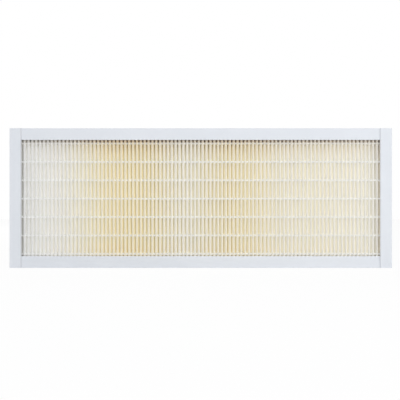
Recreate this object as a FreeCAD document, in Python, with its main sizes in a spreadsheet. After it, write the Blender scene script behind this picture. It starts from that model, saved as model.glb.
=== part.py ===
import FreeCAD, Part
import Sketcher
import os

# Panel air filter with a pleated medium, in millimetres.
# X runs along the width, Y through the depth with the front at -Y, and Z up.
# The origin is the middle of the underside, where the filter stands on its long edge.

SIZES = (
    ("frame_width", 520.0, "outer width of the frame"),
    ("frame_height", 190.0, "outer height of the frame"),
    ("frame_depth", 48.0, "outer depth of the two stiles"),
    ("wall", 1.2, "wall of the extruded channels"),
    ("border", 16.0, "height of every channel's flanges, seen as the border"),
    ("edge_radius", 0.5, "rounding of the channels' outer edges"),
    ("potting", 5.0, "adhesive that holds the pleats' ends in the rails"),
    ("seal_least", 4.5, "least width of the adhesive beside the pack"),
    ("pleat_pitch", 5.28, "from one crest to the next"),
    ("medium", 0.8, "thickness of the filter medium"),
    ("crest_clearance", 0.3, "from a bead's face to the rail's flange"),
    ("bead_height", 2.7, "height of a spacer bead, up the pleats"),
    ("bead_link", 0.5, "thickness of a bead where it passes over the crests"),
    ("bead_count", 7, "spacer beads on each face of the pack"),
    ("bead_low", 12.5, "from the pack's lower end to the middle of the lowest bead"),
    ("bead_high", 14.5, "from the pack's upper end to the middle of the highest bead"),
)

# Sizes that follow from the ones above, as expressions on the sheet.
RAIL_LENGTH = "(sizes.frame_width - 2 * sizes.wall)"
RAIL_DEPTH = "(sizes.frame_depth - 2 * sizes.wall)"
CHANNEL_DEPTH = f"({RAIL_DEPTH} - 2 * sizes.wall)"
PACK_DEPTH = f"({CHANNEL_DEPTH} - 2 * (sizes.bead_link + sizes.crest_clearance))"
PACK_HEIGHT = "(sizes.frame_height - 2 * (sizes.wall + sizes.potting))"
PLEAT_COUNT = f"floor(({RAIL_LENGTH} - 2 * (sizes.seal_least + sizes.medium)) / sizes.pleat_pitch)"
FOLDED_WIDTH = f"({PLEAT_COUNT} * sizes.pleat_pitch)"
PACK_WIDTH = f"({FOLDED_WIDTH} + 2 * sizes.medium)"
PACK_FLOOR = "(sizes.wall + sizes.potting)"
BEAD_PITCH = f"(({PACK_HEIGHT} - sizes.bead_low - sizes.bead_high) / (sizes.bead_count - 1))"

UP = FreeCAD.Vector(0, 0, 1)
ALONG = FreeCAD.Vector(1, 0, 0)
TOLERANCE = 1e-6

doc = FreeCAD.newDocument("air_filter")
sheet = doc.addObject("Spreadsheet::Sheet", "sizes")
sub_parts = []


def fill_sheet():
    """Write each driving size as a plain number with an alias and a note."""
    for row, (alias, number, note) in enumerate(SIZES, start=1):
        sheet.set(f"A{row}", alias)
        sheet.set(f"B{row}", str(number))
        sheet.setAlias(f"B{row}", alias)
        sheet.set(f"C{row}", note)
    doc.recompute()


def value(expression):
    """The number that an expression on the sheet gives."""
    return float(sheet.evalExpression(expression))


def place(sub_part, x, y, z, turn=None):
    """Bind a sub-part's place to the sheet, with a half turn about an axis where one is given."""
    if turn:
        sub_part.Placement = FreeCAD.Placement(FreeCAD.Vector(), FreeCAD.Rotation(turn, 180))
    for axis, expression in (("x", x), ("y", y), ("z", z)):
        sub_part.setExpression(f"Placement.Base.{axis}", expression)
    sub_parts.append(sub_part)


def new_body(label):
    """An empty body that carries the sub-part's name."""
    body = doc.addObject("PartDesign::Body", label)
    body.Label = label
    return body


def origin_feature(body, role):
    """One of the body's own base planes or axes."""
    return next(item for item in body.Origin.OriginFeatures if item.Role == role)


def section(body, name, plane, outlines):
    """A sketch of one or more closed outlines, with every corner's place bound to the sheet."""
    sketch = body.newObject("Sketcher::SketchObject", name)
    sketch.AttachmentSupport = [(origin_feature(body, plane), "")]
    sketch.MapMode = "FlatFace"
    for outline in outlines:
        add_outline(sketch, outline)
    return sketch


def add_outline(sketch, outline):
    """Draw one closed outline through corners given as pairs of expressions."""
    first = sketch.GeometryCount
    points = [FreeCAD.Vector(value(across), value(up), 0) for across, up in outline]
    count = len(points)
    for index, point in enumerate(points):
        sketch.addGeometry(Part.LineSegment(point, points[(index + 1) % count]), False)
    for index, corner in enumerate(outline):
        line = first + index
        following = first + (index + 1) % count
        sketch.addConstraint(Sketcher.Constraint("Coincident", line, 2, following, 1))
        bind_corner(sketch, line, corner)


def bind_corner(sketch, line, corner):
    """Hold a line's first end at its distances from the sketch's two axes."""
    for kind, axis, expression in (("DistanceX", -2, corner[0]), ("DistanceY", -1, corner[1])):
        if expression == "0":
            sketch.addConstraint(Sketcher.Constraint("PointOnObject", line, 1, axis))
            continue
        distance = Sketcher.Constraint(kind, -1, 1, line, 1, value(expression))
        sketch.setExpression(f"Constraints[{sketch.addConstraint(distance)}]", expression)


def pad(body, sketch, length):
    """Raise a sketch by a length bound to the sheet."""
    feature = body.newObject("PartDesign::Pad", f"{sketch.Name}_pad")
    feature.Profile = sketch
    feature.setExpression("Length", length)
    body.Tip = feature
    return feature


def repeat_along_x(body, feature):
    """Repeat one pleat's worth of a shape over the whole pack."""
    pattern = body.newObject("PartDesign::LinearPattern", f"{feature.Name}_row")
    pattern.Originals = [feature]
    pattern.Direction = (origin_feature(body, "X_Axis"), [""])
    pattern.Mode = "Spacing"
    pattern.setExpression("Offset", "sizes.pleat_pitch")
    pattern.setExpression("Occurrences", PLEAT_COUNT)
    body.Tip = pattern
    return pattern


def round_outer_edges(body, feature, length, depth):
    """Round the four long edges on the outside of a channel's two flanges."""
    doc.recompute()
    faces_at = (0, value(depth))
    names = []
    for index, edge in enumerate(feature.Shape.Edges, start=1):
        runs_along = abs(edge.Length - value(length)) < TOLERANCE
        on_outside = min(abs(edge.CenterOfMass.y - y) for y in faces_at) < TOLERANCE
        if runs_along and on_outside:
            names.append(f"Edge{index}")
    fillet = body.newObject("PartDesign::Fillet", f"{body.Name}_rounding")
    fillet.Base = (feature, names)
    fillet.setExpression("Radius", "sizes.edge_radius")
    body.Tip = fillet


def clone(label, original):
    """A second piece of the same form, in a body of its own."""
    body = new_body(label)
    copy = body.newObject("PartDesign::FeatureBase", f"{label}_form")
    copy.BaseFeature = original
    body.Tip = copy
    return body


def channel(label, plane, corners, length, depth):
    """A length of extruded channel: a web with a flange along each side."""
    body = new_body(label)
    run = pad(body, section(body, f"{label}_section", plane, [corners]), length)
    round_outer_edges(body, run, length, depth)
    return body


def stiles():
    """The two upright channels, as tall as the frame, whose flanges lap over the rails' ends."""
    depth = "sizes.frame_depth"
    inner = f"{depth} - sizes.wall"
    corners = [
        ("0", "0"), ("sizes.border", "0"), ("sizes.border", "sizes.wall"), ("sizes.wall", "sizes.wall"),
        ("sizes.wall", inner), ("sizes.border", inner), ("sizes.border", depth), ("0", depth),
    ]
    left = channel("stile_left", "XY_Plane", corners, "sizes.frame_height", depth)
    place(left, "-sizes.frame_width / 2", f"-{depth} / 2", "0")
    right = clone("stile_right", left)
    place(right, "sizes.frame_width / 2", f"{depth} / 2", "0", turn=UP)


def rails():
    """The two long channels, between the stiles' webs and within their flanges."""
    inner = f"{RAIL_DEPTH} - sizes.wall"
    corners = [
        ("0", "0"), (RAIL_DEPTH, "0"), (RAIL_DEPTH, "sizes.border"), (inner, "sizes.border"),
        (inner, "sizes.wall"), ("sizes.wall", "sizes.wall"),
        ("sizes.wall", "sizes.border"), ("0", "sizes.border"),
    ]
    bottom = channel("rail_bottom", "YZ_Plane", corners, RAIL_LENGTH, RAIL_DEPTH)
    place(bottom, f"-{RAIL_LENGTH} / 2", f"-{RAIL_DEPTH} / 2", "0")
    top = clone("rail_top", bottom)
    place(top, f"-{RAIL_LENGTH} / 2", f"{RAIL_DEPTH} / 2", "sizes.frame_height", turn=ALONG)


def block(label, width, depth, height):
    """A plain block whose three sides are bound to the sheet."""
    box = doc.addObject("Part::Box", label)
    box.Label = label
    for side, expression in (("Length", width), ("Width", depth), ("Height", height)):
        box.setExpression(side, expression)
    return box


def adhesive():
    """The adhesive: a layer along each rail's web, and one between each stile's web and the pack."""
    for label, floor in (
        ("potting_bottom", "sizes.wall"),
        ("potting_top", "sizes.frame_height - sizes.wall - sizes.potting"),
    ):
        layer = block(label, RAIL_LENGTH, CHANNEL_DEPTH, "sizes.potting")
        place(layer, f"-{RAIL_LENGTH} / 2", f"-{CHANNEL_DEPTH} / 2", floor)
    seal_width = f"({RAIL_LENGTH} - {PACK_WIDTH}) / 2"
    for label, side in (
        ("side_seal_left", f"-{RAIL_LENGTH} / 2"),
        ("side_seal_right", f"{PACK_WIDTH} / 2"),
    ):
        seal = block(label, seal_width, CHANNEL_DEPTH, PACK_HEIGHT)
        place(seal, side, f"-{CHANNEL_DEPTH} / 2", PACK_FLOOR)


def media_pack():
    """The medium: one sheet folded into upright pleats, with a flat leaf at each end."""
    body = new_body("media_pack")
    start = "sizes.medium"
    middle = f"({start} + sizes.pleat_pitch / 2)"
    end = f"({start} + sizes.pleat_pitch)"
    back = PACK_DEPTH
    valley = f"({back} - sizes.medium)"
    fold = section(body, "pleat", "XY_Plane", [[
        (start, valley), (f"{middle} - sizes.medium", "0"),
        (f"{middle} + sizes.medium", "0"), (end, valley),
        (end, back), (f"{end} - sizes.medium", back),
        (middle, "sizes.medium"),
        (f"{start} + sizes.medium", back), (start, back),
    ]])
    repeat_along_x(body, pad(body, fold, PACK_HEIGHT))
    last = f"({start} + {FOLDED_WIDTH})"
    leaves = section(body, "end_leaves", "XY_Plane", [
        [("0", "0"), (start, "0"), (start, back), ("0", back)],
        [(last, "0"), (PACK_WIDTH, "0"), (PACK_WIDTH, back), (last, back)],
    ])
    pad(body, leaves, PACK_HEIGHT)
    place(body, f"-{PACK_WIDTH} / 2", f"-{PACK_DEPTH} / 2", PACK_FLOOR)


def front_bead():
    """A spacer bead of the front: it runs over the crests and fills each valley down to its fold."""
    body = new_body("front_bead_1")
    crest = "sizes.bead_link"
    valley = f"({crest} + {PACK_DEPTH} - sizes.medium)"
    middle = "sizes.pleat_pitch / 2"
    tooth = section(body, "tooth", "XY_Plane", [[
        ("0", "0"), ("sizes.pleat_pitch", "0"), ("sizes.pleat_pitch", valley),
        (f"{middle} + sizes.medium", crest), (f"{middle} - sizes.medium", crest), ("0", valley),
    ]])
    repeat_along_x(body, pad(body, tooth, "sizes.bead_height"))
    return body


def beads():
    """The spacer beads of both faces, evenly spaced up the pack."""
    comb = front_bead()
    for index in range(int(value("sizes.bead_count"))):
        floor = f"{PACK_FLOOR} + sizes.bead_low + {index} * {BEAD_PITCH} - sizes.bead_height / 2"
        front = clone(f"front_bead_{index + 1}", comb) if index else comb
        place(front, f"-{FOLDED_WIDTH} / 2", f"-{PACK_DEPTH} / 2 - sizes.bead_link", floor)
        rear = block(f"rear_bead_{index + 1}", FOLDED_WIDTH, "sizes.bead_link", "sizes.bead_height")
        place(rear, f"-{FOLDED_WIDTH} / 2", f"{PACK_DEPTH} / 2", floor)


def export():
    """Write one file for each sub-part, once every object is sound."""
    doc.recompute()
    for item in doc.Objects:
        if "Invalid" in item.State or "Error" in item.State:
            raise RuntimeError(f"{item.Name} failed: {item.State}")
    for sub_part in sub_parts:
        if sub_part.Shape.isNull() or not sub_part.Shape.isValid():
            raise RuntimeError(f"{sub_part.Label} has no valid shape")
    os.makedirs("parts", exist_ok=True)
    for sub_part in sub_parts:
        sub_part.Shape.exportStep(f"parts/{sub_part.Label}.step")


fill_sheet()
stiles()
rails()
adhesive()
media_pack()
beads()
export()
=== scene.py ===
"""Pleated panel air filter: folded medium, spacer beads, white channel frame, and the studio round it."""
import logging
import math
from dataclasses import dataclass
from enum import Enum
from typing import Any, Callable, Mapping, Optional, Sequence, Union

import bmesh
import bpy
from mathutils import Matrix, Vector, noise


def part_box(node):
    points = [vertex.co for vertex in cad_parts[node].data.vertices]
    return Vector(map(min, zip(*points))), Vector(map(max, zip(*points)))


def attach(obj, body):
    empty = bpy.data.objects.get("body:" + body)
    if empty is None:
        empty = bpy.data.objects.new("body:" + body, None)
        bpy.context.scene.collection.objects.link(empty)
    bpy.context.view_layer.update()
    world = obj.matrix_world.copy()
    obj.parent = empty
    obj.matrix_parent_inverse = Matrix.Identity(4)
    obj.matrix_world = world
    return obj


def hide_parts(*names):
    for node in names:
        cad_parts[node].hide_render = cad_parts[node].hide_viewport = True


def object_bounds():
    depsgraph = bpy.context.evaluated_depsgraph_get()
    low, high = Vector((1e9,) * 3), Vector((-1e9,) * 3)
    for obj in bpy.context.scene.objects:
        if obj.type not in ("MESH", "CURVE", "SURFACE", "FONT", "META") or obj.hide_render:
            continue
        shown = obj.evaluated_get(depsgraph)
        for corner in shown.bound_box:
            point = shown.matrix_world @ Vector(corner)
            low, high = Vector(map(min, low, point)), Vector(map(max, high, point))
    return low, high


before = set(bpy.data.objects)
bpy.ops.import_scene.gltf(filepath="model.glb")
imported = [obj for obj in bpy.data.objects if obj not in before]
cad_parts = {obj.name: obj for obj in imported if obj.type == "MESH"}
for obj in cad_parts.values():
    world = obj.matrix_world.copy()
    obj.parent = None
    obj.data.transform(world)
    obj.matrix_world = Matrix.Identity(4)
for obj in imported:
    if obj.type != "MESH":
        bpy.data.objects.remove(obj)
cad_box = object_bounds()

log = logging.getLogger("air_filter")

Colour = tuple[float, float, float, float]
Number = Union[float, "Shade"]
Owner = Union[bpy.types.Material, bpy.types.World]


class Shade:
    """A node's output that takes part in shader maths written as Python expressions."""

    def __init__(self, graph: "Graph", socket: Optional[bpy.types.NodeSocket]) -> None:
        """Keep the socket and the graph that it belongs to."""
        self.graph = graph
        self.socket = socket

    def _with(self, operation: str, first: Number, second: Number) -> "Shade":
        """Add one Math node with two values."""
        return self.graph.node("ShaderNodeMath", {"operation": operation}, {0: first, 1: second})

    def __add__(self, other: Number) -> "Shade":
        """Sum."""
        return self._with("ADD", self, other)

    def __radd__(self, other: Number) -> "Shade":
        """Sum with a plain number first."""
        return self._with("ADD", other, self)

    def __sub__(self, other: Number) -> "Shade":
        """Difference."""
        return self._with("SUBTRACT", self, other)

    def __rsub__(self, other: Number) -> "Shade":
        """Difference with a plain number first."""
        return self._with("SUBTRACT", other, self)

    def __mul__(self, other: Number) -> "Shade":
        """Product."""
        return self._with("MULTIPLY", self, other)

    def __rmul__(self, other: Number) -> "Shade":
        """Product with a plain number first."""
        return self._with("MULTIPLY", other, self)

    def either(self, other: Number) -> "Shade":
        """The larger of two values."""
        return self._with("MAXIMUM", self, other)

    def size(self) -> "Shade":
        """The value without its sign."""
        return self.graph.node("ShaderNodeMath", {"operation": "ABSOLUTE"}, {0: self})

    def ramp(self, low: float, high: float) -> "Shade":
        """A smooth step from 0 at low to 1 at high."""
        settings = {"interpolation_type": "SMOOTHSTEP", "clamp": True}
        return self.graph.node("ShaderNodeMapRange", settings, {0: self, 1: low, 2: high})


class Graph:
    """The node tree of a material or of the world, filled through one method."""

    def __init__(self, owner: Owner) -> None:
        """Empty the owner's tree."""
        owner.use_nodes = True
        self.owner = owner
        self.tree = owner.node_tree
        self.tree.nodes.clear()

    def node(
        self,
        kind: str,
        settings: Optional[Mapping[str, Any]] = None,
        sockets: Optional[Mapping[Union[int, str], Any]] = None,
        out: Union[int, str] = 0,
    ) -> Shade:
        """Add a node.

        Args:
            kind: the node's type.
            settings: its properties, set before its sockets.
            sockets: values or links for its inputs, by name or number.
            out: the output to return.

        Returns:
            The chosen output, which is empty for a node that has none.
        """
        made = self.tree.nodes.new(kind)
        for name, setting in (settings or {}).items():
            setattr(made, name, setting)
        for key, given in (sockets or {}).items():
            if isinstance(given, Shade):
                self.tree.links.new(given.socket, made.inputs[key])
            else:
                made.inputs[key].default_value = given
        return Shade(self, made.outputs[out] if made.outputs else None)

    def place(self) -> Shade:
        """The point on the piece, in the object's own frame."""
        return self.node("ShaderNodeTexCoord", out="Object")

    def along(self, axis: str) -> Shade:
        """One coordinate of that point: X, Y or Z."""
        return self.node("ShaderNodeSeparateXYZ", None, {0: self.place()}, axis)

    def grain(self, stretch: Sequence[float], detail: float = 3.0, rough: float = 0.5) -> Shade:
        """Noise from 0 to 1 whose lumps have a size of their own along each axis.

        Args:
            stretch: lumps per metre along X, Y and Z.
            detail: how many finer layers it has.
            rough: how strong the finer layers are.

        Returns:
            The noise's value.
        """
        sockets = {"Vector": self.place(), "Scale": tuple(stretch)}
        mapped = self.node("ShaderNodeMapping", None, sockets)
        sockets = {"Vector": mapped, "Scale": 1.0, "Detail": detail, "Roughness": rough}
        return self.node("ShaderNodeTexNoise", {"noise_dimensions": "3D"}, sockets)

    def mix(self, share: Number, first: Any, second: Any) -> Shade:
        """Blend two colours: share 0 gives the first and 1 the second."""
        settings = {"data_type": "RGBA", "clamp_factor": True}
        return self.node("ShaderNodeMix", settings, {0: share, 6: first, 7: second}, 2)

    def bump(self, height: Shade, distance: float) -> Shade:
        """A normal bent by a relief from 0 to 1 that is so many metres high."""
        return self.node("ShaderNodeBump", None, {"Height": height, "Distance": distance})

    def porous(self, shader: Shade, share: float, colour: Colour) -> Shade:
        """Let a share of the lamps' light straight through a piece, so that its shadow stays soft.

        Args:
            shader: the piece's own finish.
            share: how much of the light passes each face.
            colour: the tint that the light takes.

        Returns:
            The mixed shader.
        """
        passed = tuple(share * channel for channel in colour[:3]) + (1.0,)
        clear = self.node("ShaderNodeBsdfTransparent", None, {"Color": passed})
        shadow = self.node("ShaderNodeLightPath", out="Is Shadow Ray")
        return self.node("ShaderNodeMixShader", None, {0: shadow, 1: shader, 2: clear})

    def backdrop(self) -> Shade:
        """1 for a ray from the camera, a reflection or glass, which sees plain white behind."""
        seen, mirrored, through = (
            self.node("ShaderNodeLightPath", out=f"Is {kind} Ray")
            for kind in ("Camera", "Glossy", "Transmission")
        )
        return seen.either(mirrored.either(through))

    def finish(self, shader: Shade, output: str = "ShaderNodeOutputMaterial") -> Owner:
        """Lead a shader to the surface and hand back the material or the world."""
        self.node(output, None, {"Surface": shader})
        return self.owner


class Run(Enum):
    """The way that a channel was extruded."""

    ACROSS = (5.0, 900.0, 900.0)
    UPRIGHT = (900.0, 900.0, 5.0)


@dataclass(frozen=True)
class ChannelPlastic:
    """Cool white satin plastic: faint lines of its extrusion, and a darker line of painted shade along
    each seam, stronger on the left.

    The stretches are lumps per metre, and the shares say how much each grain counts.
    """

    run: Run
    pale: Colour = (0.765, 0.79, 0.83, 1.0)
    deep: Colour = (0.72, 0.75, 0.795, 1.0)
    # Painted shade: the colour of the darker line along each seam.
    seam_shade: Colour = (0.60, 0.61, 0.64, 1.0)
    seam: float = 0.2445
    seam_half: float = 0.0012
    left_from: float = 0.1
    cloud_stretch: tuple[float, float, float] = (9.0, 9.0, 9.0)
    speck_stretch: tuple[float, float, float] = (1600.0, 1600.0, 1600.0)
    tone_shares: tuple[float, float, float] = (0.55, 0.3, 0.15)
    seam_shade_shares: tuple[float, float, float] = (0.25, 0.25, 0.5)
    relief_shares: tuple[float, float] = (0.6, 0.4)
    roughness: float = 0.42
    roughness_swing: float = 0.12
    relief: float = 0.00002

    def material(self) -> bpy.types.Material:
        """Build the material."""
        graph = Graph(bpy.data.materials.new(f"channel_plastic_{self.run.name.lower()}"))
        lines = graph.grain(self.run.value, 2.0)
        cloud = graph.grain(self.cloud_stretch, 3.0, 0.6)
        speck = graph.grain(self.speck_stretch, 1.0)
        of_cloud, of_lines, of_speck = self.tone_shares
        tone = of_cloud * cloud.ramp(0.3, 0.7) + of_lines * lines + of_speck * speck
        plastic = graph.mix(tone, self.deep, self.pale)
        # Painted shade along each seam, stronger on the left.
        at_seam = (graph.along("X").size() - self.seam).size().ramp(self.seam_half, 0.0)
        left = graph.along("X").ramp(self.left_from, -self.left_from)
        always, by_lines, at_left = self.seam_shade_shares
        seam_shading = at_seam * (always + by_lines * lines + at_left * left)
        in_lines, in_speck = self.relief_shares
        return graph.finish(graph.node("ShaderNodeBsdfPrincipled", None, {
            "Base Color": graph.mix(seam_shading, plastic, self.seam_shade),
            "Roughness": self.roughness + self.roughness_swing * (lines - 0.5),
            "Normal": graph.bump(in_lines * lines + in_speck * speck, self.relief),
        }))


@dataclass(frozen=True)
class Medium:
    """Fibrous filter medium that lets light through: near-white, with a painted warm glow in two zones
    across its width.

    Its colour goes from the crests to the flanks and on to the bottom of the grooves, in a pale set and a
    warm one, as painted light and shade. Painted shadow and shade darken its upper end under the top rail
    and its grooves near the lower end; painted shade lies beside the left stile and painted light beside
    the right one.
    """

    # Painted light and shade by depth: darker crests, lighter flanks near the opening, darker groove
    # bottoms.
    crest: Colour = (0.822, 0.82, 0.815, 1.0)
    flank: Colour = (0.932, 0.928, 0.922, 1.0)
    groove: Colour = (0.892, 0.886, 0.877, 1.0)
    # The warm set is painted glow: warm light bounced deep in the folds.
    warm_crest: Colour = (0.84, 0.785, 0.64, 1.0)
    warm_flank: Colour = (0.95, 0.912, 0.77, 1.0)
    warm_groove: Colour = (0.87, 0.812, 0.61, 1.0)
    # Painted shadow under the top rail: grey at the ends, brown where the glow is warm, and browner in
    # the grooves.
    top_shadow_pale: Colour = (0.50, 0.47, 0.42, 1.0)
    top_shadow_warm: Colour = (0.51, 0.37, 0.24, 1.0)
    top_shadow_groove: Colour = (0.64, 0.36, 0.10, 1.0)
    # Painted shade beside the left stile and painted light beside the right one.
    left_side_shade: Colour = (0.52, 0.52, 0.50, 1.0)
    right_side_light: Colour = (0.96, 0.90, 0.81, 1.0)
    through: Colour = (0.985, 0.982, 0.965, 1.0)
    pore_light: Colour = (0.9975, 0.9972, 0.991, 1.0)
    shade: Colour = (0.72, 0.69, 0.62, 1.0)
    # Painted shade near both ends.
    painted_end_shade: Colour = (0.78, 0.58, 0.24, 1.0)
    # Zones of painted warm glow: middle, reach and strength along X.
    zones: tuple[tuple[float, float, float], ...] = (
        (-0.25, 0.12, -0.3), (-0.10, 0.095, 0.75), (0.045, 0.08, 0.5), (0.14, 0.12, 0.12),
    )
    everywhere: float = 0.3
    half_depth: float = 0.0208
    shallow: float = 0.0008
    deep: float = 0.004
    bottom: float = 0.016
    # Painted shadow under the top rail: its edge, the fade of the painted bands, and its strength on
    # crests and in grooves.
    top_shadow_edge: float = 0.1718
    painted_band_fade: float = 0.0022
    top_shadow: float = 0.62
    groove_shadow_fade: float = 0.0042
    groove_shadow: float = 0.42
    groove_shadow_least: float = 0.05
    groove_shadow_warms: float = 0.95
    # Where the painted bands beside the stiles start, and how strong they are.
    side_band_start: float = 0.2418
    side_band_share: float = 0.6
    # Painted shade near the upper end: where it fades in, how strong it is, and how much the glow warms
    # it.
    end_shade_low: float = 0.150
    end_shade_high: float = 0.176
    end_shade: float = 0.2
    end_shade_least: float = 0.1
    end_shade_warms: float = 1.3
    foot_high: float = 0.036
    foot_low: float = 0.020
    foot: float = 0.5
    fibre_stretch: tuple[float, float, float] = (2600.0, 2600.0, 900.0)
    clump_stretch: tuple[float, float, float] = (260.0, 260.0, 140.0)
    clump_warms: float = 0.1
    clump_wear: float = 0.06
    fibre_wear: float = 0.08
    roughness: float = 0.95
    relief: float = 0.00006
    passing: float = 0.22
    top_shadow_blocks: float = 0.9
    open_share: float = 0.98

    def material(self) -> bpy.types.Material:
        """Build the material."""
        graph = Graph(bpy.data.materials.new("filter_medium"))
        fibre = graph.grain(self.fibre_stretch, 4.0, 0.7)
        clump = graph.grain(self.clump_stretch, 3.0, 0.6)
        inwards = self.half_depth - graph.along("Y").size()
        depth, far = inwards.ramp(self.shallow, self.deep), inwards.ramp(self.deep, self.bottom)
        painted_glow = self._painted_glow(graph) + self.clump_warms * (clump - 0.5)
        # Painted light and shade by depth, in the pale set and the warm one.
        pale = graph.mix(far, graph.mix(depth, self.crest, self.flank), self.groove)
        warm_side = graph.mix(depth, self.warm_crest, self.warm_flank)
        fresh = graph.mix(painted_glow, pale, graph.mix(far, warm_side, self.warm_groove))
        wear = self.clump_wear * clump.ramp(0.55, 0.8) + self.fibre_wear * fibre.ramp(0.5, 0.8)
        # Painted shade near both ends, over the medium's own random tone.
        painted_end_shade = self._end_shade(graph, graph.mix(wear, fresh, self.shade), depth, painted_glow)
        # Painted shadow under the top rail; it also holds back the light through the sheet.
        top_shadow_share = self._top_shadow(graph, depth, painted_glow)
        shadow_on_crest = graph.mix(painted_glow, self.top_shadow_pale, self.top_shadow_warm)
        top_shadowed = graph.mix(top_shadow_share, painted_end_shade, graph.mix(depth, shadow_on_crest, self.top_shadow_groove))
        body = graph.node("ShaderNodeBsdfPrincipled", None, {
            "Base Color": self._side_bands(graph, top_shadowed),
            "Roughness": self.roughness,
            "Specular IOR Level": 0.0,
            "Normal": graph.bump(fibre, self.relief),
        })
        glow = graph.node("ShaderNodeBsdfTranslucent", None, {"Color": self.through})
        passing = self.passing * (1 - self.top_shadow_blocks * top_shadow_share)
        sheet = graph.node("ShaderNodeMixShader", None, {0: passing, 1: body, 2: glow})
        return graph.finish(graph.porous(sheet, self.open_share, self.pore_light))

    def _painted_glow(self, graph: Graph) -> Shade:
        """How warm the medium's colour is: a little cream everywhere, and more painted glow round each
        zone's middle.
        """
        across = graph.along("X")
        painted_glow: Number = self.everywhere
        for middle, reach, strength in self.zones:
            painted_glow = painted_glow + strength * (across - middle).size().ramp(reach, 0.0)
        return painted_glow

    def _end_shade(self, graph: Graph, clean: Shade, depth: Shade, painted_glow: Shade) -> Shade:
        """Paint shade into the colour near the upper end under the top rail, and in the grooves near the
        lower end.

        Args:
            graph: the material's nodes.
            clean: the colour before.
            depth: 0 on the crests and 1 down the flanks.
            painted_glow: how strong the painted warm glow is there.

        Returns:
            The colour with painted shade.
        """
        height = graph.along("Z")
        foot = self.foot * depth * height.ramp(self.foot_high, self.foot_low)
        ends = height.ramp(self.end_shade_low, self.end_shade_high) + foot
        share = self.end_shade * ends * (self.end_shade_least + self.end_shade_warms * painted_glow)
        return graph.mix(share, clean, self.painted_end_shade)

    def _top_shadow(self, graph: Graph, depth: Shade, painted_glow: Shade) -> Shade:
        """How strong the painted shadow under the top rail is at the upper end, on the crests and down
        the grooves.

        Args:
            graph: the material's nodes.
            depth: 0 on the crests and 1 down the flanks.
            painted_glow: how strong the painted warm glow is there.

        Returns:
            The share of painted shadow, from 0 to 1.
        """
        height = graph.along("Z")
        upper, deeper = (
            height.ramp(self.top_shadow_edge - fade, self.top_shadow_edge)
            for fade in (self.painted_band_fade, self.groove_shadow_fade)
        )
        on_crest = self.top_shadow * upper * (1 - depth)
        in_groove = self.groove_shadow * deeper * depth
        return on_crest + in_groove * (self.groove_shadow_least + self.groove_shadow_warms * painted_glow)

    def _side_bands(self, graph: Graph, inner: Shade) -> Shade:
        """Blend painted colour in beside the stiles: grey painted shade on the left and pale warm painted
        light on the right.
        """
        across, edge = graph.along("X"), self.side_band_start + self.painted_band_fade
        left, right = (
            self.side_band_share * side.ramp(self.side_band_start, edge) for side in (0 - across, across)
        )
        return graph.mix(right, graph.mix(left, inner, self.left_side_shade), self.right_side_light)


@dataclass(frozen=True)
class HotMelt:
    """Set hot-melt thread: milky, a little glossy, clearer in clouds, and with painted shade near the
    upper end under the top rail.
    """

    milky: Colour = (0.88, 0.885, 0.88, 1.0)
    clear: Colour = (0.85, 0.85, 0.835, 1.0)
    # Painted shade for the top bead under the top rail.
    rail_shade: Colour = (0.60, 0.54, 0.44, 1.0)
    through: Colour = (0.985, 0.985, 0.975, 1.0)
    rail_shade_low: float = 0.160
    rail_shade_high: float = 0.171
    rail_shade_share: float = 0.45
    cloud_stretch: tuple[float, float, float] = (160.0, 160.0, 160.0)
    ripple_stretch: tuple[float, float, float] = (500.0, 500.0, 900.0)
    roughness: float = 0.38
    roughness_swing: float = 0.2
    relief: float = 0.00008
    passing: float = 0.25
    open_share: float = 0.95

    def material(self) -> bpy.types.Material:
        """Build the material."""
        graph = Graph(bpy.data.materials.new("hot_melt"))
        cloud = graph.grain(self.cloud_stretch, 3.0, 0.6)
        ripple = graph.grain(self.ripple_stretch, 2.0)
        fresh = graph.mix(cloud.ramp(0.35, 0.75), self.milky, self.clear)
        # Painted shade near the upper end, under the top rail.
        near_end = graph.along("Z").ramp(self.rail_shade_low, self.rail_shade_high)
        body = graph.node("ShaderNodeBsdfPrincipled", None, {
            "Base Color": graph.mix(self.rail_shade_share * near_end, fresh, self.rail_shade),
            "Roughness": self.roughness + self.roughness_swing * (ripple - 0.5),
            "Normal": graph.bump(ripple, self.relief),
        })
        glow = graph.node("ShaderNodeBsdfTranslucent", None, {"Color": self.through})
        thread = graph.node("ShaderNodeMixShader", None, {0: self.passing, 1: body, 2: glow})
        return graph.finish(graph.porous(thread, self.open_share, self.through))


@dataclass(frozen=True)
class Adhesive:
    """Foamed sealing adhesive: off-white, pitted and matt."""

    pale: Colour = (0.80, 0.78, 0.72, 1.0)
    dark: Colour = (0.66, 0.63, 0.55, 1.0)
    pit_stretch: tuple[float, float, float] = (900.0, 900.0, 900.0)
    cloud_stretch: tuple[float, float, float] = (45.0, 45.0, 45.0)
    tone_shares: tuple[float, float] = (0.6, 0.4)
    roughness: float = 0.6
    roughness_swing: float = 0.2
    relief: float = 0.00025

    def material(self) -> bpy.types.Material:
        """Build the material."""
        graph = Graph(bpy.data.materials.new("sealing_adhesive"))
        pits = graph.grain(self.pit_stretch, 3.0, 0.6)
        cloud = graph.grain(self.cloud_stretch, 3.0)
        of_cloud, of_pits = self.tone_shares
        return graph.finish(graph.node("ShaderNodeBsdfPrincipled", None, {
            "Base Color": graph.mix(of_cloud * cloud + of_pits * pits, self.pale, self.dark),
            "Roughness": self.roughness + self.roughness_swing * (pits - 0.5),
            "Normal": graph.bump(pits, self.relief),
        }))


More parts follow.
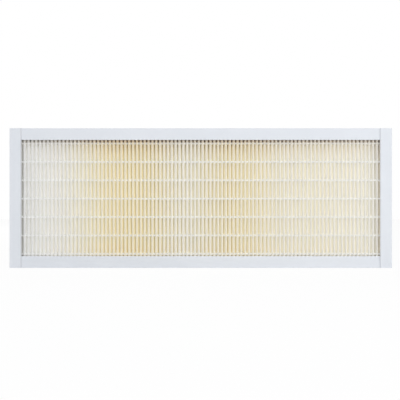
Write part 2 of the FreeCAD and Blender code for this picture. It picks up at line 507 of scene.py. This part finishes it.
def make_piece(bm: bmesh.types.BMesh, name: str, material: bpy.types.Material) -> bpy.types.Object:
    """Turn a closed bmesh into a smooth named piece that rides on the filter.

    Args:
        bm: the shape, in metres, where it stands.
        name: the piece's name.
        material: its finish.

    Returns:
        The new object.
    """
    bmesh.ops.recalc_face_normals(bm, faces=bm.faces)
    mesh = bpy.data.meshes.new(name)
    bm.to_mesh(mesh)
    bm.free()
    mesh.shade_smooth()
    mesh.materials.append(material)
    piece = bpy.data.objects.new(name, mesh)
    bpy.context.scene.collection.objects.link(piece)
    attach(piece, "root")
    log.info("%s: %d faces", name, len(mesh.polygons))
    return piece


def vertices_in(geometry: Sequence[Any]) -> list[bmesh.types.BMVert]:
    """Pick the vertices out of what an operator returns."""
    return [item for item in geometry if isinstance(item, bmesh.types.BMVert)]


def stray(*place: float) -> float:
    """Smooth repeatable noise from -1 to 1."""
    return noise.noise(Vector(place))


@dataclass
class PleatPack:
    """The medium: one sheet, folded to and fro with rounded folds, with pleats that stray a little.

    A step says how far apart two neighbours lie in the noise, and each kind of stray has its own lane.
    """

    material: bpy.types.Material
    pleats: int = 96
    thickness: float = 0.0008
    fold_half: float = 0.00045
    rows: int = 15
    depth_cuts: int = 3
    wander: float = 0.00004
    bow: float = 0.00003
    recess: float = 0.00004
    rounding: float = 0.9
    fold_angle: float = 0.2
    weld: float = 0.0000045
    level_step: float = 14.0
    fold_step: float = 0.9
    flank_step: float = 1.7
    crest_step: float = 1.3
    front_lane: float = 3.1
    rear_lane: float = 8.7
    flank_lane: float = 5.3
    crest_lane: float = 1.9
    root_lane: float = 6.1

    def __post_init__(self) -> None:
        """Take the pack's place from the frame."""
        self.low, self.high = (Vector(corner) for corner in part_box("media_pack"))
        self.start = self.low.x + self.thickness
        self.pitch = (self.high.x - self.low.x - 2 * self.thickness) / self.pleats
        self.front = self.low.y + self.thickness / 2 + self.recess
        self.rear = self.high.y - self.thickness / 2 - self.recess

    def build(self) -> bpy.types.Object:
        """Fold the sheet, give it its wall and put it in place of the plain pack."""
        bm = self._fold_line()
        self._raise_sheet(bm)
        self._cut(bm)
        for vertex in bm.verts:
            vertex.co += self._stray_of(vertex.co)
        self._thicken(bm)
        piece = make_piece(bm, "pleated_medium", self.material)
        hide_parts("media_pack")
        return piece

    def _fold_line(self) -> bmesh.types.BMesh:
        """The sheet's middle line from below: a leaf, the pleats one by one, and a leaf."""
        bm = bmesh.new()
        floor, crest = self.low.z, self.start + self.pitch / 2
        line = [bm.verts.new((x, y, floor)) for x, y in (
            (self.start, self.rear),
            (self.start + self.fold_half, self.rear),
            (crest - self.fold_half, self.front),
            (crest + self.fold_half, self.front),
            (self.start + self.pitch - self.fold_half, self.rear),
            (self.start + self.pitch, self.rear),
        )]
        pleat = line + [bm.edges.new(pair) for pair in zip(line, line[1:])]
        first, last = line[0], line[-1]
        for index in range(1, self.pleats):
            copied = bmesh.ops.duplicate(bm, geom=pleat)
            last = copied["vert_map"][line[-1]]
            bmesh.ops.translate(bm, verts=vertices_in(copied["geom"]), vec=(index * self.pitch, 0, 0))
        for end, side in ((first, -1), (last, 1)):
            self._add_leaf(bm, end, side)
        bmesh.ops.remove_doubles(bm, verts=bm.verts, dist=self.weld)
        return bm

    def _add_leaf(self, bm: bmesh.types.BMesh, end: bmesh.types.BMVert, side: int) -> None:
        """Lead the line from its last rear fold forward along the adhesive."""
        bmesh.ops.translate(bm, verts=[end], vec=(side * self.thickness / 2, 0, 0))
        tip = bmesh.ops.extrude_vert_indiv(bm, verts=[end])["verts"]
        bmesh.ops.translate(bm, verts=tip, vec=(0, self.front - self.rear, 0))

    def _raise_sheet(self, bm: bmesh.types.BMesh) -> None:
        """Raise the line to a sheet as tall as the pack, and round its folds."""
        raised = bmesh.ops.extrude_edge_only(bm, edges=bm.edges[:])
        rise = (0, 0, self.high.z - self.low.z)
        bmesh.ops.translate(bm, verts=vertices_in(raised["geom"]), vec=rise)
        bmesh.ops.recalc_face_normals(bm, faces=bm.faces)
        inner = [edge for edge in bm.edges if len(edge.link_faces) == 2]
        folds = [edge for edge in inner if edge.calc_face_angle(0) > self.fold_angle]
        bmesh.ops.bevel(
            bm, geom=folds, offset=self.rounding * self.fold_half, offset_type="OFFSET", segments=2,
            profile=0.5, affect="EDGES", material=-1,
        )

    def _cut(self, bm: bmesh.types.BMesh) -> None:
        """Divide the sheet up its height and down its flanks, so that it can bend."""
        for axis, count in ((Vector((0, 0, 1)), self.rows), (Vector((0, 1, 0)), self.depth_cuts + 1)):
            for index in range(1, count):
                spot = self.low.lerp(self.high, index / count)
                whole = bm.verts[:] + bm.edges[:] + bm.faces[:]
                bmesh.ops.bisect_plane(bm, geom=whole, plane_co=spot, plane_no=axis)

    def _stray_of(self, spot: Vector) -> Vector:
        """How far a point of the sheet strays: folds sideways and inwards, flanks in a slight bow.

        Args:
            spot: the point on the even sheet.

        Returns:
            Its offset.
        """
        if not self.start <= spot.x <= self.start + self.pleats * self.pitch:
            return Vector()
        across = (spot.x - self.start) / self.pitch
        depth = (spot.y - self.front) / (self.rear - self.front)
        level = spot.z * self.level_step
        crest, rear = math.floor(across), round(across)
        at_front = stray(crest * self.fold_step, level, self.front_lane)
        at_rear = stray(rear * self.fold_step, level, self.rear_lane)
        flank = stray(math.floor(2 * across) * self.flank_step, level, self.flank_lane)
        sideways = self.wander * ((1 - depth) * at_front + depth * at_rear)
        sideways += self.bow * flank * math.sin(math.pi * min(max(depth, 0), 1))
        crest_in = stray(crest * self.crest_step, level, self.crest_lane)
        root_in = stray(rear, level, self.root_lane)
        inwards = self.recess * ((1 - depth) * crest_in + depth * root_in)
        return Vector((sideways, inwards, 0))

    def _thicken(self, bm: bmesh.types.BMesh) -> None:
        """Give the sheet its wall, half on each side of its middle."""
        bm.normal_update()
        shifts = [
            vertex.normal * vertex.calc_shell_factor() * self.thickness / 2 for vertex in bm.verts
        ]
        for vertex, shift in zip(bm.verts, shifts):
            vertex.co -= shift
        bmesh.ops.solidify(bm, geom=bm.faces[:], thickness=self.thickness)


class Face(Enum):
    """A face of the pack, with its direction along Y and where a bead's first valley lies in a pitch."""

    FRONT = (1, 0.0)
    REAR = (-1, 0.5)


@dataclass
class SpacerBead:
    """A bead of hot melt: a rounded link over the crests, and a tooth down both flanks of each valley."""

    pack: PleatPack
    material: bpy.types.Material
    face: Face
    number: int
    columns: int = 8
    tiers: int = 4
    proud: float = 0.00042
    dip: float = 0.0001
    roll: float = 0.00025
    wave: float = 0.00008
    weld: float = 0.0000008
    wave_step: float = 60.0
    wave_lane: float = 7.3
    swell_step: float = 190.0
    swell_lane: float = 3.9
    swell_row: float = 4.4
    swell: float = 0.12
    slim: float = 0.08

    def __post_init__(self) -> None:
        """Take the bead's place from the frame."""
        self.node = f"{self.face.name.lower()}_bead_{self.number}"
        self.low, self.high = (Vector(corner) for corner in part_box(self.node))

    def build(self) -> bpy.types.Object:
        """Shape the bead and put it in place of the plain one."""
        bm = self._skin()
        self._fill(bm)
        for vertex in bm.verts:
            vertex.co.z = self._height_of(vertex.co)
        piece = make_piece(bm, f"{self.node}_melt", self.material)
        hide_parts(self.node)
        return piece

    def _skin(self) -> bmesh.types.BMesh:
        """The outer skin over the whole pack: one pitch, repeated and welded."""
        bm = bmesh.new()
        bmesh.ops.create_grid(bm, x_segments=self.columns, y_segments=self.tiers, size=0.5)
        for vertex in bm.verts:
            across, up = vertex.co.x + 0.5, 2 * vertex.co.y
            vertex.co = self._spot(across, up, self._outer(across, up))
        pitch = bm.verts[:] + bm.edges[:] + bm.faces[:]
        for index in range(1, self.pack.pleats):
            copied = bmesh.ops.duplicate(bm, geom=pitch)["geom"]
            bmesh.ops.translate(bm, verts=vertices_in(copied), vec=(index * self.pack.pitch, 0, 0))
        bmesh.ops.remove_doubles(bm, verts=bm.verts, dist=self.weld)
        return bm

    def _spot(self, across: float, up: float, depth: float) -> Vector:
        """A point of the bead.

        Args:
            across: pitches from the pack's first one.
            up: from -1 at the bead's lower edge to 1 at its upper edge.
            depth: metres in from the crests.

        Returns:
            The point in the filter's frame.
        """
        direction, _ = self.face.value
        crests = self.pack.low.y if direction > 0 else self.pack.high.y
        middle, half = (self.low.z + self.high.z) / 2, (self.high.z - self.low.z) / 2
        along = self.pack.start + across * self.pack.pitch
        return Vector((along, crests + direction * depth, middle + up * half))

    def _from_valley(self, across: float) -> float:
        """How far a place lies from the middle of the nearest valley, from 0 to 0.5 pitches."""
        _, phase = self.face.value
        return abs((across + phase + 0.5) % 1 - 0.5)

    def _outer(self, across: float, up: float) -> float:
        """Depth of the outer skin: proud of the crests, dipped in the valleys, rolled in at its edges."""
        swing = math.cos(2 * math.pi * self._from_valley(across))
        level = (self.dip - self.proud) / 2 + (self.dip + self.proud) / 2 * swing
        return level + self.roll * (1 - math.sqrt(max(0, 1 - up * up)))

    def _inner(self, across: float) -> float:
        """Depth of the bead's back, in the middle of the sheet that it is stuck to."""
        depth = self.pack.high.y - self.pack.low.y
        fold = self.pack.fold_half / self.pack.pitch
        reach = (0.5 - fold - self._from_valley(across)) / (0.5 - 2 * fold)
        half = self.pack.thickness / 2
        return half + (depth - 2 * half) * min(max(reach, 0), 1)

    def _fill(self, bm: bmesh.types.BMesh) -> None:
        """Close the bead: both edges of the skin run in to the sheet, and a back joins them."""
        backs = []
        for level in (self.low.z, self.high.z):
            border = [
                edge for edge in bm.edges
                if edge.is_boundary and all(abs(vertex.co.z - level) < self.wave for vertex in edge.verts)
            ]
            run = bmesh.ops.extrude_edge_only(bm, edges=border)["geom"]
            for vertex in vertices_in(run):
                across = (vertex.co.x - self.pack.start) / self.pack.pitch
                vertex.co.y = self._spot(across, 0, self._inner(across)).y
            backs += [
                item for item in run
                if isinstance(item, bmesh.types.BMEdge) and item.is_boundary
                and all(vertex in run for vertex in item.verts)
            ]
        bmesh.ops.bridge_loops(bm, edges=backs)
        bmesh.ops.holes_fill(bm, edges=[edge for edge in bm.edges if edge.is_boundary], sides=0)

    def _height_of(self, spot: Vector) -> float:
        """The height of a point once the bead wanders and swells a little along its run."""
        middle = (self.low.z + self.high.z) / 2
        lane, row = self.number * self.wave_lane, self.face.value[1]
        lift = self.wave * stray(spot.x * self.wave_step, lane, row)
        fuller = stray(spot.x * self.swell_step, self.number * self.swell_lane, self.swell_row)
        swell = 1 + self.swell * fuller - self.slim
        return middle + lift + (spot.z - middle) * swell


@dataclass(frozen=True)
class Dressing:
    """Finishes for the pieces that keep their own form: the channels and the adhesive."""

    def apply(self) -> None:
        """Give each such piece its material."""
        finishes: dict[Callable[[], bpy.types.Material], Sequence[str]] = {
            ChannelPlastic(Run.UPRIGHT).material: ("stile_left", "stile_right"),
            ChannelPlastic(Run.ACROSS).material: ("rail_bottom", "rail_top"),
            Adhesive().material: ("potting_bottom", "potting_top", "side_seal_left", "side_seal_right"),
        }
        for make, names in finishes.items():
            material = make()
            for name in names:
                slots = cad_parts[name].material_slots
                for slot in slots:
                    slot.material = material
                log.info("%s: %s in %d slots", name, material.name, len(slots))


@dataclass(frozen=True)
class Lamp:
    """A soft square lamp that faces the filter."""

    name: str
    spot: tuple[float, float, float]
    side: float
    watts: float

    def build(self) -> None:
        """Hang the lamp."""
        light = bpy.data.lights.new(self.name, "AREA")
        light.size = self.side
        light.energy = self.watts
        holder = bpy.data.objects.new(self.name, light)
        holder.location = self.spot
        aim = Vector((0, 0, cad_box[1][2] / 2)) - Vector(self.spot)
        holder.rotation_euler = aim.to_track_quat("-Z", "Y").to_euler()
        bpy.context.scene.collection.objects.link(holder)


@dataclass(frozen=True)
class Studio:
    """A pale floor, soft light and a camera square on to the filter, as in the photograph."""

    picture: int = 400
    left_edge: float = 9.48
    right_edge: float = 392.1
    top_edge: float = 128.05
    bottom_edge: float = 268.0
    axis_column: float = 186.0
    distance: float = 1.2
    sensor: float = 36.0
    floor_size: float = 6.0
    floor_matt: Colour = (0.92, 0.92, 0.92, 1.0)
    floor_glow: float = 0.93
    white: Colour = (1.0, 1.0, 1.0, 1.0)
    soft: Colour = (0.97, 0.98, 1.0, 1.0)
    soft_level: float = 0.62
    bounces: int = 12
    thicknesses: int = 64
    lamps: tuple[Lamp, ...] = (
        Lamp("key", (0.1, -1.3, 1.4), 0.9, 7.0),
        Lamp("right", (1.2, -0.8, 0.3), 0.8, 4.9),
        Lamp("left", (-1.2, -0.9, 0.3), 0.8, 0.8),
        Lamp("fill", (0.2, -2.2, 0.15), 1.0, 2.0),
        Lamp("back", (-0.7, 1.6, 1.1), 1.2, 8.0),
    )

    def build(self) -> None:
        """Set the floor, the lights, the surroundings and the camera."""
        self._floor()
        self._surroundings()
        for lamp in self.lamps:
            lamp.build()
        self._camera()
        scene = bpy.context.scene
        scene.view_settings.view_transform = "Standard"
        scene.cycles.max_bounces = self.bounces
        scene.cycles.diffuse_bounces = self.bounces
        scene.cycles.transmission_bounces = self.bounces
        scene.cycles.transparent_max_bounces = self.thicknesses

    def _floor(self) -> None:
        """A wide pale floor that keeps the filter's shadow."""
        bm = bmesh.new()
        bmesh.ops.create_grid(bm, x_segments=1, y_segments=1, size=self.floor_size / 2)
        mesh = bpy.data.meshes.new("floor")
        bm.to_mesh(mesh)
        bm.free()
        graph = Graph(bpy.data.materials.new("pale_floor"))
        matt = graph.node("ShaderNodeBsdfDiffuse", None, {"Color": self.floor_matt})
        glow = graph.node("ShaderNodeEmission", None, {"Color": self.white, "Strength": 1.0})
        share = self.floor_glow * graph.backdrop()
        mixed = graph.node("ShaderNodeMixShader", None, {0: share, 1: matt, 2: glow})
        mesh.materials.append(graph.finish(mixed))
        floor = bpy.data.objects.new("floor", mesh)
        bpy.context.scene.collection.objects.link(floor)

    def _surroundings(self) -> None:
        """White all round to the camera and in reflections, and soft light on the filter."""
        graph = Graph(bpy.data.worlds.new("studio"))
        soft, white = (
            graph.node("ShaderNodeBackground", None, {"Color": colour, "Strength": level})
            for colour, level in ((self.soft, self.soft_level), (self.white, 1.0))
        )
        mixed = graph.node("ShaderNodeMixShader", None, {0: graph.backdrop(), 1: soft, 2: white})
        bpy.context.scene.world = graph.finish(mixed, "ShaderNodeOutputWorld")

    def _camera(self) -> None:
        """A level camera whose frame matches the photograph's."""
        low, high = (Vector(corner) for corner in cad_box)
        metres = (high.x - low.x) / (self.right_edge - self.left_edge)
        middle_column = (self.left_edge + self.right_edge) / 2
        middle_row = (self.top_edge + self.bottom_edge) / 2
        lens = bpy.data.cameras.new("camera")
        lens.sensor_width = self.sensor
        lens.lens = self.sensor * self.distance / (self.picture * metres)
        lens.shift_x = (self.picture / 2 - self.axis_column) / self.picture
        camera = bpy.data.objects.new("camera", lens)
        camera.location = (
            (self.axis_column - middle_column) * metres,
            low.y - self.distance,
            (low.z + high.z) / 2 + (middle_row - self.picture / 2) * metres,
        )
        camera.rotation_euler = (math.pi / 2, 0, 0)
        bpy.context.scene.collection.objects.link(camera)
        bpy.context.scene.camera = camera


def main() -> None:
    """Build the scene piece by piece."""
    logging.basicConfig(level=logging.INFO, format="%(name)s %(message)s")
    Studio().build()
    Dressing().apply()
    pack = PleatPack(Medium().material())
    pack.build()
    melt = HotMelt().material()
    count = sum(name.startswith("front_bead_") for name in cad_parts)
    for face in Face:
        for number in range(1, count + 1):
            SpacerBead(pack, melt, face, number).build()


if __name__ == "__main__":
    main()
